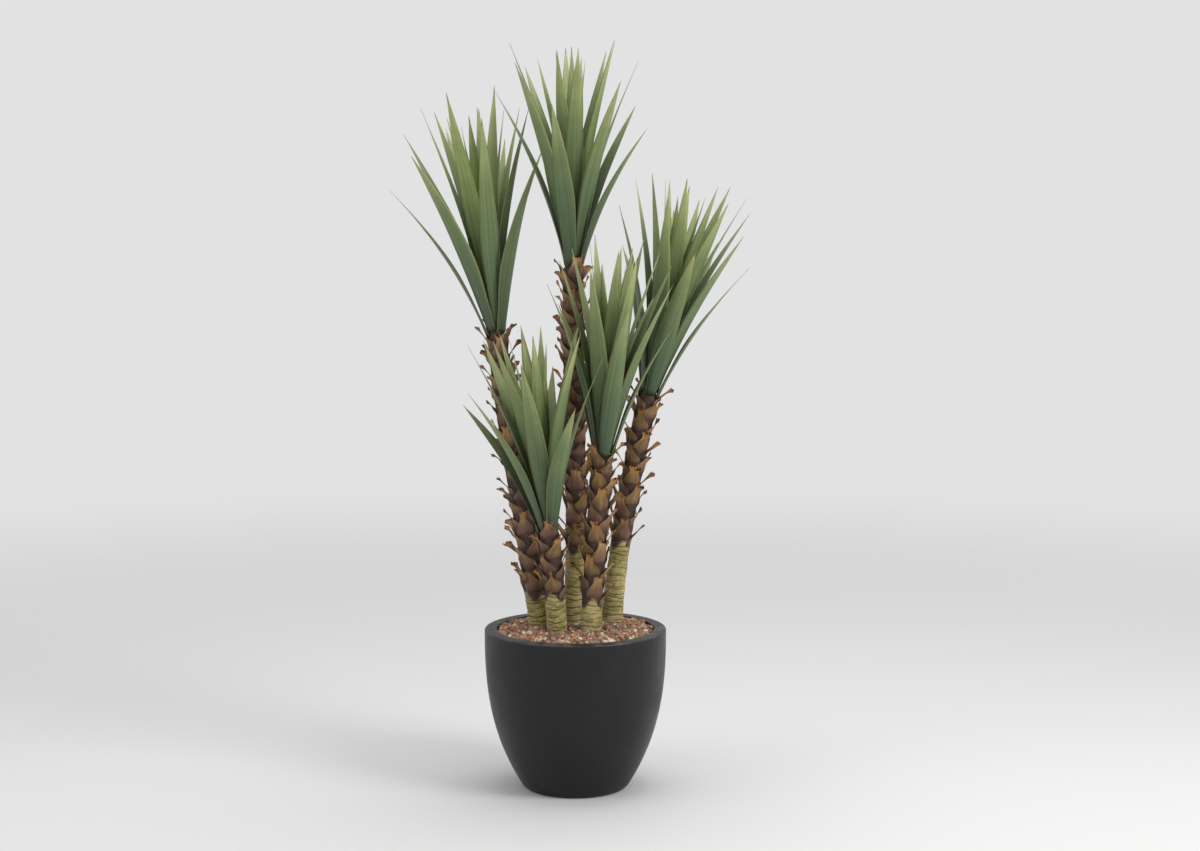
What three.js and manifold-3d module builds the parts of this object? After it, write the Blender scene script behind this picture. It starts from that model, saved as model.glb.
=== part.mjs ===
// Potted cane yucca: five ringed stems of different heights in one tall round planter. Each stem
// is bare at its foot, wears a jacket of dry leaf husks higher up and ends in a tuft of
// sword-shaped leaves. Millimetres, +Z up, origin at the centre of the planter's underside.
import * as THREE from 'three';
import { LoftGeometry } from 'three/addons/geometries/LoftGeometry.js';
import { mergeVertices } from 'three/addons/utils/BufferGeometryUtils.js';
import Module from 'manifold-3d';

const wasm = await Module();
wasm.setup();

// ---------------------------------------------------------------- driving dimensions

const GAP = 0.3; // clearance that keeps touching pieces separate

const POT_HEIGHT = 355;
const RIM_RADIUS = 200;
const BASE_RADIUS = 114;
const FLARE = 2.7; // how sharply the side pulls in towards the base
const POT_WALL = 27;
const POT_FLOOR = 30;
const RIM_OUTER_ROUND = 5;
const RIM_INNER_ROUND = 3;
const BASE_ROUND = 10;
const POT_SIDES = 40;
const WALL_STEPS = 7;

const GRAVEL_BOTTOM = 320;
const GRAVEL_EDGE = 348; // height of the gravel where it meets the planter's wall
const GRAVEL_MOUND = 4; // how much higher it lies in the middle
const GRAVEL_RINGS = 6;
const PEBBLE_BUMP = 1.4;
const PEBBLE_SPACING = 6.5;

const STEM_SIDES = 12;
const STEM_RINGS = [0, 0.12, 0.24, 0.38, 0.52, 0.66, 0.8, 0.94, 1];
const FOOT_RADIUS = 25;
const CANE_RADIUS = 22;
const NECK_RADIUS = 18; // where the lowest leaves of the tuft begin
const NECK_TAPER = 0.2; // radius lost for each millimetre of growing point above the neck

const JACKET_WALL = 1.8;
const HUSK_SPACING = 30;
const HUSK_LENGTH = 46;
const HUSK_WIDTH = 38;
const HUSK_THICKNESS = 2.6;
const HUSK_FREE = 34; // the husk next to the tuft starts this far below it

const HEART_ROOTING = 2.5; // depth to which the inner leaves grow out of the growing point

const GOLDEN_ANGLE = THREE.MathUtils.degToRad(137.508);
const OUTER_LEAVES = 8;
const LEAF_RISE = 72; // height over which the leaf bases climb the growing point
const LEAF_WIDTH = 47;
const LEAF_BASE_THICKNESS = 4;
const LEAF_BLADE_THICKNESS = 2;
const LEAF_TIP_WIDTH = 1;
const LEAF_FOLD_RADIUS = 36;
const TIGHTEST_CURL = 9;
const SIDE_SWAY = 0.04; // a tip strays sideways by up to this share of the leaf's length
const START_TILT = 0.6; // a leaf leaves the stem at this share of its final tilt
const WIDEST_AT = 0.4; // fraction of the leaf's length where it is widest
const OUTER_STATIONS = [0, 0.1, 0.24, 0.42, 0.62, 0.82, 1];
const INNER_STATIONS = [0, 0.25, 0.6, 1];

// Each stem runs through its points from its buried foot to the neck under its tuft. It is bare
// up to bareTop. A tuft has its own leaf count, longest leaf, spread of its outer leaves in
// degrees and starting direction in degrees.
const STEMS = [
  {
    name: 'left',
    points: [[-74, 24, 170], [-80, 25, 350], [-110, 33, 565], [-147, 45, 793], [-173, 60, 996]],
    bareTop: 418,
    leaves: 22,
    leafLength: 485,
    spread: 25,
    turn: 180,
  },
  {
    name: 'centre',
    points: [[-3, 75, 170], [-3, 75, 350], [2, 62, 562], [-2, 42, 836], [-5, 20, 1146]],
    bareTop: 516,
    leaves: 22,
    leafLength: 436,
    spread: 26,
    turn: 340,
  },
  {
    name: 'right',
    points: [[76, 75, 170], [81, 75, 350], [101, 72, 534], [140, 67, 760], [162, 65, 860]],
    bareTop: 527,
    leaves: 22,
    leafLength: 440,
    spread: 24,
    turn: 0,
  },
  {
    name: 'front_right',
    points: [[34, -28, 170], [34, -28, 350], [46, -42, 566], [58, -60, 736]],
    bareTop: 412,
    leaves: 22,
    leafLength: 422,
    spread: 22,
    turn: 2,
  },
  {
    name: 'front_left',
    points: [[-39, -30, 170], [-40, -30, 350], [-49, -48, 486], [-57, -66, 575]],
    bareTop: 430,
    leaves: 19,
    leafLength: 425,
    spread: 25,
    turn: 160,
  },
];

const MATERIALS = {
  pot: { color: 0x2a2a2b, roughness: 0.45, metalness: 0 },
  soil: { color: 0x33261c, roughness: 0.95, metalness: 0 },
  gravel: { color: 0x8c6a4f, roughness: 0.85, metalness: 0 },
  stem: { color: 0x87784e, roughness: 0.8, metalness: 0 },
  husk: { color: 0x5f493a, roughness: 0.85, metalness: 0 },
  leaf: { color: 0x54613f, roughness: 0.5, metalness: 0 },
};

// ---------------------------------------------------------------- helpers

const UP = new THREE.Vector3(0, 0, 1);

function mix(from, to, share) {
  return from + (to - from) * share;
}

// A repeatable number from -1 to 1 for each seed: natural variation that is the same every time.
function vary(seed) {
  const wave = Math.sin(seed * 12.9898) * 43758.5453;
  return 2 * (wave - Math.floor(wave)) - 1;
}

function makeMesh(name, kind, geometry) {
  const mesh = new THREE.Mesh(geometry, new THREE.MeshStandardMaterial(MATERIALS[kind]));
  mesh.name = name;
  return mesh;
}

function toSolid(geometry) {
  const bare = new THREE.BufferGeometry().copy(geometry);
  bare.deleteAttribute('normal');
  bare.deleteAttribute('uv');
  const merged = mergeVertices(bare, 1e-4);
  const mesh = new wasm.Mesh({
    numProp: 3,
    vertProperties: new Float32Array(merged.getAttribute('position').array),
    triVerts: new Uint32Array(merged.getIndex().array),
  });
  return new wasm.Manifold(mesh);
}

function toGeometry(solid) {
  const mesh = solid.getMesh();
  const geometry = new THREE.BufferGeometry();
  geometry.setAttribute('position', new THREE.BufferAttribute(mesh.vertProperties, 3));
  geometry.setIndex(new THREE.BufferAttribute(mesh.triVerts, 1));
  geometry.computeVertexNormals();
  return geometry;
}

// ---------------------------------------------------------------- planter, soil and gravel

// The planter's side is steep at the rim and pulls in towards the base.
function outerRadius(height) {
  const below = 1 - height / POT_HEIGHT;
  return RIM_RADIUS - (RIM_RADIUS - BASE_RADIUS) * below ** FLARE;
}

function innerRadius(height) {
  return outerRadius(height) - POT_WALL;
}

function evenHeights(bottom, top, steps) {
  return Array.from({ length: steps + 1 }, (_, i) => mix(bottom, top, i / steps));
}

function roundedCorner(start, corner, end) {
  const curve = new THREE.QuadraticBezierCurve(
    new THREE.Vector2(...start),
    new THREE.Vector2(...corner),
    new THREE.Vector2(...end),
  );
  return curve.getPoints(2);
}

function buildPot() {
  const sideTop = POT_HEIGHT - RIM_OUTER_ROUND;
  const liningTop = POT_HEIGHT - RIM_INNER_ROUND;
  const mouth = innerRadius(POT_HEIGHT);
  const side = evenHeights(BASE_ROUND, sideTop, WALL_STEPS).slice(1, -1);
  const lining = [...evenHeights(POT_FLOOR, GRAVEL_BOTTOM, WALL_STEPS), GRAVEL_EDGE].reverse();
  const outline = [
    new THREE.Vector2(0, 0),
    ...roundedCorner(
      [BASE_RADIUS - BASE_ROUND, 0],
      [BASE_RADIUS, 0],
      [outerRadius(BASE_ROUND), BASE_ROUND],
    ),
    ...side.map((height) => new THREE.Vector2(outerRadius(height), height)),
    ...roundedCorner(
      [outerRadius(sideTop), sideTop],
      [RIM_RADIUS, POT_HEIGHT],
      [RIM_RADIUS - RIM_OUTER_ROUND, POT_HEIGHT],
    ),
    ...roundedCorner(
      [mouth + RIM_INNER_ROUND, POT_HEIGHT],
      [mouth, POT_HEIGHT],
      [innerRadius(liningTop), liningTop],
    ),
    ...lining.map((height) => new THREE.Vector2(innerRadius(height), height)),
    new THREE.Vector2(0, POT_FLOOR),
  ];
  return new THREE.LatheGeometry(outline, POT_SIDES);
}

function buildSoil() {
  const top = GRAVEL_BOTTOM - GAP;
  const heights = evenHeights(POT_FLOOR, GRAVEL_BOTTOM, WALL_STEPS);
  const wall = heights.map((height) => {
    const level = THREE.MathUtils.clamp(height, POT_FLOOR + GAP, top);
    return new THREE.Vector2(innerRadius(height) - GAP * 2, level);
  });
  const outline = [new THREE.Vector2(0, POT_FLOOR + GAP), ...wall, new THREE.Vector2(0, top)];
  return new THREE.LatheGeometry(outline, POT_SIDES);
}

function buildGravel() {
  const edge = innerRadius(GRAVEL_BOTTOM) - GAP;
  const top = Array.from({ length: GRAVEL_RINGS }, (_, ring) => {
    const share = 1 - ring / (GRAVEL_RINGS - 1);
    return new THREE.Vector2(edge * share, GRAVEL_EDGE + GRAVEL_MOUND * (1 - share ** 2));
  });
  const outline = [new THREE.Vector2(0, GRAVEL_BOTTOM), new THREE.Vector2(edge, GRAVEL_BOTTOM), ...top];
  const geometry = new THREE.LatheGeometry(outline, POT_SIDES);
  const position = geometry.getAttribute('position');
  for (let i = 0; i < position.count; i++) {
    const across = Math.sin(position.getX(i) / PEBBLE_SPACING);
    const along = Math.cos(position.getZ(i) / PEBBLE_SPACING);
    const onTop = position.getY(i) > GRAVEL_BOTTOM;
    position.setY(i, position.getY(i) + (onTop ? PEBBLE_BUMP * across * along : 0));
  }
  return geometry;
}

// A lathe turns about +Y, so its work is stood up to turn about +Z.
function standUp(geometry) {
  return geometry.rotateX(Math.PI / 2);
}

// ---------------------------------------------------------------- stems

function stemCurve(stem) {
  return new THREE.CatmullRomCurve3(stem.points.map((point) => new THREE.Vector3(...point)));
}

// A place on the stem: its point and the turn that carries +Z onto the stem's own direction.
function placeOnStem(curve, share) {
  const turn = new THREE.Quaternion().setFromUnitVectors(UP, curve.getTangentAt(share));
  return { point: curve.getPointAt(share), turn };
}

function stemRadius(share) {
  const cane = mix(FOOT_RADIUS, CANE_RADIUS, THREE.MathUtils.smoothstep(share, 0, 0.6));
  return mix(cane, NECK_RADIUS, THREE.MathUtils.smoothstep(share, 0.94, 1));
}

function stemRing(place, radius) {
  return Array.from({ length: STEM_SIDES }, (_, i) => {
    const angle = (i / STEM_SIDES) * 2 * Math.PI;
    const spoke = new THREE.Vector3(radius * Math.cos(angle), radius * Math.sin(angle), 0);
    return spoke.applyQuaternion(place.turn).add(place.point);
  });
}

function neckRadius(rise) {
  return NECK_RADIUS - NECK_TAPER * rise;
}

// Height above the neck at which the stem's own wood gives way to the young bunched leaves.
function woodTop(stem) {
  return leafRise(stem, OUTER_LEAVES) - 2;
}

// The same place moved along the stem's own direction.
function slide(place, distance) {
  const step = UP.clone().applyQuaternion(place.turn).multiplyScalar(distance);
  return { point: place.point.clone().add(step), turn: place.turn };
}

// A stem's solid, or with a clearance the slightly larger and deeper socket that it stands in.
function buildStem(stem, clearance = 0) {
  const curve = stemCurve(stem);
  const rings = STEM_RINGS.map((share) => {
    const place = placeOnStem(curve, share);
    return stemRing(share === 0 ? slide(place, -clearance) : place, stemRadius(share) + clearance);
  });
  const rise = woodTop(stem);
  rings.push(stemRing(slide(placeOnStem(curve, 1), rise), neckRadius(rise) + clearance));
  return new LoftGeometry(rings, { capStart: true, capEnd: true });
}

// ---------------------------------------------------------------- blades: leaves and husks

// A thin blade whose rows are four points each: two edges, the keel outside and the groove
// inside. The edges curl round towards the plant's axis on the row's curl radius.
function bladeRow({ centre, outward, side, width, thickness, curl }) {
  const angle = width / 2 / curl;
  const back = outward.clone().multiplyScalar(-curl * (1 - Math.cos(angle)));
  const reach = side.clone().multiplyScalar(curl * Math.sin(angle));
  const half = outward.clone().multiplyScalar(thickness / 2);
  return [
    centre.clone().add(half),
    centre.clone().add(back).add(reach),
    centre.clone().sub(half),
    centre.clone().add(back).sub(reach),
  ];
}

// The faces outside and inside a blade fold along matching diagonals, from the middle of one row
// to the edge of the next, so the two skins of the thin blade never cross.
function bladeGeometry(rows) {
  const [keel, right, groove, left] = [0, 1, 2, 3];
  const sections = rows.map(bladeRow);
  const index = [];
  const addFace = (...corners) => index.push(...corners.map(([row, corner]) => row * 4 + corner));
  for (let row = 0; row < rows.length - 1; row++) {
    const next = row + 1;
    addFace([row, keel], [row, right], [next, right]);
    addFace([row, keel], [next, right], [next, keel]);
    addFace([row, right], [row, groove], [next, right]);
    addFace([row, groove], [next, groove], [next, right]);
    addFace([row, groove], [row, left], [next, left]);
    addFace([row, groove], [next, left], [next, groove]);
    addFace([row, left], [row, keel], [next, left]);
    addFace([row, keel], [next, keel], [next, left]);
  }
  const last = rows.length - 1;
  addFace([0, keel], [0, groove], [0, right]);
  addFace([0, keel], [0, left], [0, groove]);
  addFace([last, keel], [last, right], [last, groove]);
  addFace([last, keel], [last, groove], [last, left]);
  const geometry = new THREE.BufferGeometry().setFromPoints(sections.flat());
  geometry.setIndex(index);
  geometry.computeVertexNormals();
  return geometry;
}

function leafRise(stem, index) {
  return (LEAF_RISE * index) / (stem.leaves - 1);
}

// Share of the leaf's greatest width along its length: a narrow base, then a long fine taper.
function leafWidth(along, age) {
  const swelling = mix(mix(0.35, 0.66, age), 1, THREE.MathUtils.smoothstep(along, 0, WIDEST_AT));
  const taper = Math.max(0, (along - WIDEST_AT) / (1 - WIDEST_AT));
  return swelling * (1 - taper ** 1.6);
}

function leafThickness(along) {
  const blade = mix(LEAF_BASE_THICKNESS, LEAF_BLADE_THICKNESS, THREE.MathUtils.smoothstep(along, 0, 0.15));
  return blade * mix(1, 0.4, along);
}

// One leaf in its tuft's own frame: it starts on the growing point, leans out and bends over.
// Leaf 0 is the oldest and lowest, and each next leaf stands a golden angle further round.
function leafGeometry(stem, index, stations, inset) {
  const seed = index + stem.turn;
  const age = 1 - index / (stem.leaves - 1);
  const direction = THREE.MathUtils.degToRad(stem.turn) + index * GOLDEN_ANGLE;
  const outward = new THREE.Vector3(Math.cos(direction), Math.sin(direction), 0);
  const side = new THREE.Vector3(-Math.sin(direction), Math.cos(direction), 0);
  const tilt = THREE.MathUtils.degToRad(mix(3, stem.spread, age ** 0.8) + 1.5 * vary(seed));
  const shape = mix(0.62, 1, Math.sin(Math.PI * mix(0.8, 0.14, age)));
  const length = stem.leafLength * shape * (1 + 0.05 * vary(seed + 0.3));
  const width = LEAF_WIDTH * mix(0.8, 1, shape) * mix(0.78, 1, Math.sqrt(age));
  const rise = leafRise(stem, index);
  const foot = neckRadius(rise) + LEAF_BASE_THICKNESS / 2 + inset;
  const sway = SIDE_SWAY * length * vary(seed + 0.6);
  const reach = (angle, distance) => outward
    .clone()
    .multiplyScalar(foot + distance * Math.sin(angle))
    .addScaledVector(UP, rise + distance * Math.cos(angle));
  const spine = new THREE.QuadraticBezierCurve3(
    reach(0, 0),
    reach(tilt * START_TILT, length * 0.5),
    reach(tilt, length).addScaledVector(side, sway),
  );
  const rows = stations.map((along) => {
    const centre = spine.getPoint(along);
    const tangent = spine.getTangent(along);
    const across = new THREE.Vector3().crossVectors(tangent, outward).normalize();
    const fromAxis = Math.hypot(centre.x, centre.y);
    return {
      centre,
      outward: new THREE.Vector3().crossVectors(across, tangent),
      side: across,
      width: Math.max(width * leafWidth(along, age), LEAF_TIP_WIDTH),
      thickness: leafThickness(along),
      curl: THREE.MathUtils.clamp(fromAxis, TIGHTEST_CURL, LEAF_FOLD_RADIUS),
    };
  });
  return bladeGeometry(rows);
}

// The young inner leaves stand bunched on the soft top of the growing point, as one body.
function buildHeart(stem) {
  const start = woodTop(stem) + GAP;
  const end = LEAF_RISE + 10;
  const rings = [start, mix(start, end, 0.5), end].map((rise) => {
    const place = { point: new THREE.Vector3(0, 0, rise), turn: new THREE.Quaternion() };
    return stemRing(place, neckRadius(rise));
  });
  let heart = toSolid(new LoftGeometry(rings, { capStart: true, capEnd: true }));
  for (let index = OUTER_LEAVES; index < stem.leaves; index++) {
    heart = heart.add(toSolid(leafGeometry(stem, index, INNER_STATIONS, -HEART_ROOTING)));
  }
  return toGeometry(heart);
}

// A dry husk: the clasping stub of an old leaf. It hugs the stem and its torn tip stands out.
function huskGeometry(place, radius, seed) {
  const direction = seed * GOLDEN_ANGLE;
  const outward = new THREE.Vector3(Math.cos(direction), Math.sin(direction), 0);
  const side = new THREE.Vector3(-Math.sin(direction), Math.cos(direction), 0);
  const length = HUSK_LENGTH * (1 + 0.15 * vary(seed));
  const flare = 16 + 7 * vary(seed + 0.5);
  const profile = [
    { height: 0, out: -1, width: HUSK_WIDTH, thickness: HUSK_THICKNESS },
    { height: 0.55 * length, out: 4, width: 0.8 * HUSK_WIDTH, thickness: HUSK_THICKNESS },
    { height: length, out: 4 + flare, width: 0.4 * HUSK_WIDTH, thickness: 1.2 },
  ];
  const rows = profile.map(({ height, out, width, thickness }) => {
    const centre = outward.clone().multiplyScalar(radius + out).addScaledVector(UP, height);
    return {
      centre: centre.applyQuaternion(place.turn).add(place.point),
      outward: outward.clone().applyQuaternion(place.turn),
      side: side.clone().applyQuaternion(place.turn),
      width,
      thickness,
      curl: radius + out,
    };
  });
  return bladeGeometry(rows);
}

function shareAtHeight(curve, height) {
  const steps = 400;
  for (let i = 0; i <= steps; i++) {
    if (curve.getPointAt(i / steps).z >= height) return i / steps;
  }
  return 1;
}

// The jacket of husks: a thin sleeve of packed husk bases with every husk rooted in it.
function buildJacket(stem) {
  const curve = stemCurve(stem);
  const length = curve.getLength();
  const bottom = shareAtHeight(curve, stem.bareTop);
  const top = 1 - 3 / length;
  const shares = [bottom, ...STEM_RINGS.filter((share) => share > bottom + 0.02 && share < top), top];
  const sleeve = shares.map((share) => {
    return stemRing(placeOnStem(curve, share), stemRadius(share) + GAP + JACKET_WALL);
  });
  let jacket = toSolid(new LoftGeometry(sleeve, { capStart: true, capEnd: true }));
  const last = 1 - HUSK_FREE / length;
  const count = Math.floor(((last - bottom) * length) / HUSK_SPACING);
  for (let i = 0; i < count; i++) {
    const share = mix(bottom, last, i / (count - 1));
    const radius = stemRadius(share) + GAP + JACKET_WALL;
    jacket = jacket.add(toSolid(huskGeometry(placeOnStem(curve, share), radius, i)));
  }
  return toGeometry(jacket.subtract(toSolid(buildStem(stem, GAP))));
}

// ---------------------------------------------------------------- assembly

const yucca = new THREE.Group();
yucca.name = 'potted_yucca';

yucca.add(makeMesh('pot', 'pot', standUp(buildPot())));

const sockets = STEMS.map((stem) => toSolid(buildStem(stem, GAP)));
for (const [name, bed] of [['soil', buildSoil()], ['gravel', buildGravel()]]) {
  const drilled = sockets.reduce((solid, socket) => solid.subtract(socket), toSolid(standUp(bed)));
  yucca.add(makeMesh(name, name, toGeometry(drilled)));
}

for (const stem of STEMS) {
  yucca.add(makeMesh(`stem_${stem.name}`, 'stem', buildStem(stem)));
  yucca.add(makeMesh(`husks_${stem.name}`, 'husk', buildJacket(stem)));
  const tuft = new THREE.Group();
  const neck = placeOnStem(stemCurve(stem), 1);
  tuft.position.copy(neck.point);
  tuft.quaternion.copy(neck.turn);
  for (let index = 0; index < OUTER_LEAVES; index++) {
    const label = String(index + 1).padStart(2, '0');
    tuft.add(makeMesh(`leaf_${stem.name}_${label}`, 'leaf', leafGeometry(stem, index, OUTER_STATIONS, GAP)));
  }
  tuft.add(makeMesh(`heart_${stem.name}`, 'leaf', buildHeart(stem)));
  yucca.add(tuft);
}

export default yucca;
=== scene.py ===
# %% [markdown]
# # A potted cane yucca
# Five ringed stems of different heights stand in one tall planter. Each wears a jacket of dry
# leaf husks and ends in a tuft of sword-shaped leaves. The CAD model is loaded first as a fixed
# frame. It is right in size and place but coarse, so every visible piece is built again here,
# finer, around the same places.

import math

import bpy
import numpy as np
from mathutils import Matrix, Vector


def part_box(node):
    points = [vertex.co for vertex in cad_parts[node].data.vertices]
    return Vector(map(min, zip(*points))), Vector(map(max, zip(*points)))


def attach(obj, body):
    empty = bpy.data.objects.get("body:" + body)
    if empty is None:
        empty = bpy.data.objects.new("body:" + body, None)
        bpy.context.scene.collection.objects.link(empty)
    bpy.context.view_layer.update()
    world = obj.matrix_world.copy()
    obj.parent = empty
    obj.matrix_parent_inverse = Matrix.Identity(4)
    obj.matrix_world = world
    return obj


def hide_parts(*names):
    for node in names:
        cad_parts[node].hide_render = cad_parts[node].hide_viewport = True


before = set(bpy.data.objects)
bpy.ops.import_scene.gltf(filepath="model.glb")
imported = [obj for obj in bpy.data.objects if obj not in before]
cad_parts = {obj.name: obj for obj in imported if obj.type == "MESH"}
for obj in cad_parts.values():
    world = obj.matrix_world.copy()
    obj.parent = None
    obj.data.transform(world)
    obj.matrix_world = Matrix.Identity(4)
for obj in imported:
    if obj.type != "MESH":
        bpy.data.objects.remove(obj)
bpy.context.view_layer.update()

# %% [markdown]
# ## Natural variation
# No two leaves of a plant are the same, yet the plant should be the same each time this lesson
# runs. So chance comes from two repeatable sources: one fixed random generator, and a small
# formula that turns any seed into a number from -1 to 1. The CAD model uses the same formula, so
# each leaf built here leans just as its CAD leaf does.

# %% Repeatable chance and soft steps
chance = np.random.default_rng(11)


def vary(seed):
    wave = math.sin(seed * 12.9898) * 43758.5453
    return 2 * (wave - math.floor(wave)) - 1


def mix(start, end, share):
    return start + (end - start) * share


def soft_step(value, low, high):
    share = np.clip((np.asarray(value, float) - low) / (high - low), 0, 1)
    return share * share * (3 - 2 * share)


# %% [markdown]
# ## Turning numbers into pieces
# Most of this plant is long and changes slowly along its length: stems, husks, leaves. Such a
# shape is easiest to make as a loft, which is a row of closed rings joined by walls. A loft also
# gives each point a place along and across the piece, and the finishes use those values later.

# %% Lofts and pieces
def loft(rings):
    """The points and faces of closed rings joined in a row, with both ends capped."""
    rows, sides, _ = rings.shape
    index = np.arange(rows * sides).reshape(rows, sides)
    onward = np.roll(index, -1, axis=1)
    walls = np.stack([index[:-1], onward[:-1], onward[1:], index[1:]], axis=-1)
    faces = [tuple(face) for face in walls.reshape(-1, 4)]
    return rings.reshape(-1, 3), faces + [tuple(index[0][::-1]), tuple(index[-1])]


def join(parts):
    """Joins parts, each a (points, faces, values) tuple, into one such tuple."""
    points, faces, values, count = [], [], {}, 0
    for part_points, part_faces, part_values in parts:
        points.append(part_points)
        faces += [tuple(i + count for i in face) for face in part_faces]
        for label, numbers in part_values.items():
            values.setdefault(label, []).append(np.broadcast_to(numbers, len(part_points)))
        count += len(part_points)
    return np.concatenate(points), faces, {k: np.concatenate(v) for k, v in values.items()}


def make_piece(name, part, material, stands_for=()):
    points, faces, values = part
    mesh = bpy.data.meshes.new(name)
    mesh.from_pydata([tuple(point) for point in points.tolist()], [], faces)
    for label, numbers in values.items():
        attribute = mesh.attributes.new(label, "FLOAT", "POINT")
        full = np.array(np.broadcast_to(numbers, len(points)), np.float32)
        attribute.data.foreach_set("value", full)
    mesh.shade_smooth()
    mesh.materials.append(material)
    piece = bpy.data.objects.new(name, mesh)
    bpy.context.scene.collection.objects.link(piece)
    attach(piece, "root")
    if stands_for:
        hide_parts(*stands_for)
    return piece


print("loft test:", len(loft(np.zeros((3, 8, 3)))[1]), "faces")

# %% [markdown]
# ## Finishes from nodes
# A finish is a small network of nodes. Long networks are hard to read when every node takes four
# lines, so a few helpers add a node, set its sockets and link it in one call. Colours are written
# as they look on a screen, from 0 to 255, and turned into the linear values that light needs.

# %% Node helpers
def tint(red, green, blue):
    def linear(level):
        share = level / 255
        return share / 12.92 if share <= 0.04045 else ((share + 0.055) / 1.055) ** 2.4

    return (linear(red), linear(green), linear(blue), 1)


def feed(tree, socket, value):
    if isinstance(value, bpy.types.NodeSocket):
        tree.links.new(value, socket)
    else:
        socket.default_value = value


def add(tree, kind, sockets=None, **settings):
    node = tree.nodes.new(kind)
    for key, value in settings.items():
        setattr(node, key, value)
    for key, value in (sockets or {}).items():
        feed(tree, node.inputs[key], value)
    return node


def maths(tree, operation, first, second=0.0, clamp=False):
    node = add(tree, "ShaderNodeMath", {0: first, 1: second}, operation=operation)
    node.use_clamp = clamp
    return node.outputs[0]


def blend(tree, share, first, second, way="MIX"):
    node = add(tree, "ShaderNodeMix", data_type="RGBA", blend_type=way)
    for slot_number, value in ((0, share), (6, first), (7, second)):
        feed(tree, node.inputs[slot_number], value)
    return node.outputs[2]


def rescale(tree, value, low, high, to_low=0.0, to_high=1.0):
    sockets = {"Value": value, 1: low, 2: high, 3: to_low, 4: to_high}
    return add(tree, "ShaderNodeMapRange", sockets, interpolation_type="SMOOTHSTEP").outputs[0]


def ramp(tree, share, stops, way="LINEAR"):
    node = add(tree, "ShaderNodeValToRGB", {"Fac": share})
    colours = node.color_ramp
    colours.interpolation = way
    colours.elements[0].position, colours.elements[0].color = stops[0]
    colours.elements[1].position, colours.elements[1].color = stops[-1]
    for position, colour in stops[1:-1]:
        colours.elements.new(position).color = colour
    return node.outputs["Color"]


def reading(tree, label):
    """The value that a piece carries at each of its points under this name."""
    return add(tree, "ShaderNodeAttribute", attribute_name=label).outputs["Fac"]


def start_material(name):
    material = bpy.data.materials.new(name)
    material.use_nodes = True
    tree = material.node_tree
    return material, tree, tree.nodes["Principled BSDF"]


# %% [markdown]
# ## Effects that several finishes share
# Leaves, husks and stems all have fibres, and everything is a little blotchy. Such an effect is
# built once as a node group with named sockets, and each finish places it with its own values.
# - *Fibres* draws fine lines along a piece, from its own along and across values.
# - *Blotches* gives soft clouds in space, for stains, fading and handling marks.
# - *Settled dust and top light* finds surfaces that face up and makes them paler: partly settled
#   dust, partly painted top light.

# %% Shared node groups
def start_group(name, inputs, outputs):
    group = bpy.data.node_groups.new(name, "ShaderNodeTree")
    for label, kind, value in inputs:
        socket = group.interface.new_socket(label, in_out="INPUT", socket_type=kind)
        if value is not None:
            socket.default_value = value
    for label, kind in outputs:
        group.interface.new_socket(label, in_out="OUTPUT", socket_type=kind)
    return group, group.nodes.new("NodeGroupInput"), group.nodes.new("NodeGroupOutput")


NUMBER = "NodeSocketFloat"

fibres, given, result = start_group(
    "Fibres",
    [("Along", NUMBER, 0.0), ("Across", NUMBER, 0.0), ("Seed", NUMBER, 0.0),
     ("Lines", NUMBER, 12.0), ("Stretch", NUMBER, 2.0)],
    [("Lines", NUMBER), ("Streaks", NUMBER)],
)
place = add(fibres, "ShaderNodeCombineXYZ", {
    "X": maths(fibres, "MULTIPLY", given.outputs["Across"], given.outputs["Lines"]),
    "Y": maths(fibres, "MULTIPLY", given.outputs["Along"], given.outputs["Stretch"]),
    "Z": maths(fibres, "MULTIPLY", given.outputs["Seed"], 37.0),
})
fine = add(fibres, "ShaderNodeTexNoise", {"Vector": place.outputs[0], "Scale": 1.0, "Detail": 3.0})
broad = add(fibres, "ShaderNodeTexNoise", {"Vector": place.outputs[0], "Scale": 0.22, "Detail": 2.0})
feed(fibres, result.inputs["Lines"], rescale(fibres, fine.outputs[0], 0.3, 0.7))
feed(fibres, result.inputs["Streaks"], rescale(fibres, broad.outputs[0], 0.35, 0.65))

blotches, given, result = start_group(
    "Blotches",
    [("Size", NUMBER, 20.0), ("Low", NUMBER, 0.4), ("High", NUMBER, 0.65)],
    [("Clouds", NUMBER), ("Specks", NUMBER)],
)
spot = add(blotches, "ShaderNodeTexCoord").outputs["Object"]
cloud = add(blotches, "ShaderNodeTexNoise", {
    "Vector": spot, "Scale": given.outputs["Size"], "Detail": 4.0, "Roughness": 0.6,
})
clouds = add(blotches, "ShaderNodeMapRange", {
    "Value": cloud.outputs[0], 1: given.outputs["Low"], 2: given.outputs["High"],
})
grit = add(blotches, "ShaderNodeTexNoise", {
    "Vector": spot, "Scale": maths(blotches, "MULTIPLY", given.outputs["Size"], 14.0), "Detail": 2.0,
})
feed(blotches, result.inputs["Clouds"], clouds.outputs[0])
feed(blotches, result.inputs["Specks"], rescale(blotches, grit.outputs[0], 0.58, 0.7))

# Paler on faces that look up: partly settled dust, partly painted top light.
dust, given, result = start_group(
    "Settled dust and top light", [("Amount", NUMBER, 0.3), ("Size", NUMBER, 40.0)], [("Mask", NUMBER)]
)
facing = add(dust, "ShaderNodeSeparateXYZ", {0: add(dust, "ShaderNodeNewGeometry").outputs["Normal"]})
cloud = add(dust, "ShaderNodeTexNoise", {
    "Vector": add(dust, "ShaderNodeTexCoord").outputs["Object"],
    "Scale": given.outputs["Size"], "Detail": 4.0,
})
facing_up_patches = maths(dust, "MULTIPLY", rescale(dust, facing.outputs["Z"], 0.1, 0.95),
                rescale(dust, cloud.outputs[0], 0.35, 0.7))
feed(dust, result.inputs["Mask"], maths(dust, "MULTIPLY", facing_up_patches, given.outputs["Amount"]))


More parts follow.
